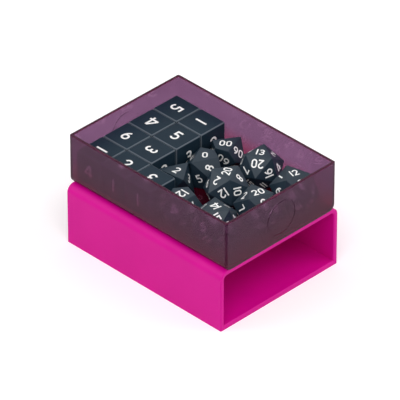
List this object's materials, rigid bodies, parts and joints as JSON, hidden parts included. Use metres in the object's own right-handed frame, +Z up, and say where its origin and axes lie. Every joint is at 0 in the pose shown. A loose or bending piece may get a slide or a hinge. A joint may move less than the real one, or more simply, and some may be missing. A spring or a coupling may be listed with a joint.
{
  "type": "dice storage chest",
  "caption": "Flat rectangular sleeve open at both ends, with its pull-out translucent tray standing on top and filled with packed cube dice and loose many-sided dice.",
  "frame": {"origin": "middle of the sleeve's flat underside, which rests on the table", "axes": "+X along the tray towards its loose-dice end, +Y across it, +Z up out of the open tray"},
  "size_m": [0.102, 0.0762, 0.0586],
  "materials": {
    "sleeve_plastic": "satin moulded, opaque magenta",
    "tray_plastic": "smoky purple, see-through, finely frosted",
    "dice_plastic": "dark slate",
    "numeral_paint": "white paint in the dice's engraved numerals"
  },
  "bodies": {
    "sleeve_body": {"sleeve": "sleeve_plastic"},
    "tray_body": {"tray": "tray_plastic"},
    "cube_die_1_body": {"cube_die_1": "dice_plastic"},
    "cube_die_2_body": {"cube_die_2": "dice_plastic"},
    "cube_die_3_body": {"cube_die_3": "dice_plastic"},
    "cube_die_4_body": {"cube_die_4": "dice_plastic"},
    "cube_die_5_body": {"cube_die_5": "dice_plastic"},
    "cube_die_6_body": {"cube_die_6": "dice_plastic"},
    "cube_die_7_body": {"cube_die_7": "dice_plastic"},
    "cube_die_8_body": {"cube_die_8": "dice_plastic"},
    "cube_die_9_body": {"cube_die_9": "dice_plastic"},
    "ten_sided_die_1_body": {"ten_sided_die_1": "dice_plastic"},
    "ten_sided_die_2_body": {"ten_sided_die_2": "dice_plastic"},
    "eight_sided_die_body": {"eight_sided_die": "dice_plastic"},
    "twelve_sided_die_body": {"twelve_sided_die": "dice_plastic"},
    "twenty_sided_die_1_body": {"twenty_sided_die_1": "dice_plastic"},
    "twenty_sided_die_2_body": {"twenty_sided_die_2": "dice_plastic"},
    "twenty_sided_die_3_body": {"twenty_sided_die_3": "dice_plastic"},
    "twenty_sided_die_4_body": {"twenty_sided_die_4": "dice_plastic"},
    "twenty_sided_die_5_body": {"twenty_sided_die_5": "dice_plastic"}
  },
  "joints": [
    {"name": "tray_lift_off", "type": "slide", "parent": "sleeve_body", "child": "tray_body", "axis": [0, 0, 1], "range_m": [0, 0.06]},
    {"name": "cube_die_1_lift_out", "type": "slide", "parent": "tray_body", "child": "cube_die_1_body", "axis": [0, 0, 1], "range_m": [0, 0.05]},
    {"name": "cube_die_2_lift_out", "type": "slide", "parent": "tray_body", "child": "cube_die_2_body", "axis": [0, 0, 1], "range_m": [0, 0.05]},
    {"name": "cube_die_3_lift_out", "type": "slide", "parent": "tray_body", "child": "cube_die_3_body", "axis": [0, 0, 1], "range_m": [0, 0.05]},
    {"name": "cube_die_4_lift_out", "type": "slide", "parent": "tray_body", "child": "cube_die_4_body", "axis": [0, 0, 1], "range_m": [0, 0.05]},
    {"name": "cube_die_5_lift_out", "type": "slide", "parent": "tray_body", "child": "cube_die_5_body", "axis": [0, 0, 1], "range_m": [0, 0.05]},
    {"name": "cube_die_6_lift_out", "type": "slide", "parent": "tray_body", "child": "cube_die_6_body", "axis": [0, 0, 1], "range_m": [0, 0.05]},
    {"name": "cube_die_7_lift_out", "type": "slide", "parent": "tray_body", "child": "cube_die_7_body", "axis": [0, 0, 1], "range_m": [0, 0.05]},
    {"name": "cube_die_8_lift_out", "type": "slide", "parent": "tray_body", "child": "cube_die_8_body", "axis": [0, 0, 1], "range_m": [0, 0.05]},
    {"name": "cube_die_9_lift_out", "type": "slide", "parent": "tray_body", "child": "cube_die_9_body", "axis": [0, 0, 1], "range_m": [0, 0.05]},
    {"name": "ten_sided_die_1_lift_out", "type": "slide", "parent": "tray_body", "child": "ten_sided_die_1_body", "axis": [0, 0, 1], "range_m": [0, 0.05]},
    {"name": "ten_sided_die_2_lift_out", "type": "slide", "parent": "tray_body", "child": "ten_sided_die_2_body", "axis": [0, 0, 1], "range_m": [0, 0.05]},
    {"name": "eight_sided_die_lift_out", "type": "slide", "parent": "tray_body", "child": "eight_sided_die_body", "axis": [0, 0, 1], "range_m": [0, 0.05]},
    {"name": "twelve_sided_die_lift_out", "type": "slide", "parent": "tray_body", "child": "twelve_sided_die_body", "axis": [0, 0, 1], "range_m": [0, 0.05]},
    {"name": "twenty_sided_die_1_lift_out", "type": "slide", "parent": "tray_body", "child": "twenty_sided_die_1_body", "axis": [0, 0, 1], "range_m": [0, 0.05]},
    {"name": "twenty_sided_die_2_lift_out", "type": "slide", "parent": "tray_body", "child": "twenty_sided_die_2_body", "axis": [0, 0, 1], "range_m": [0, 0.05]},
    {"name": "twenty_sided_die_3_lift_out", "type": "slide", "parent": "tray_body", "child": "twenty_sided_die_3_body", "axis": [0, 0, 1], "range_m": [0, 0.05]},
    {"name": "twenty_sided_die_4_lift_out", "type": "slide", "parent": "tray_body", "child": "twenty_sided_die_4_body", "axis": [0, 0, 1], "range_m": [0, 0.05]},
    {"name": "twenty_sided_die_5_lift_out", "type": "slide", "parent": "tray_body", "child": "twenty_sided_die_5_body", "axis": [0, 0, 1], "range_m": [0, 0.05]}
  ]
}
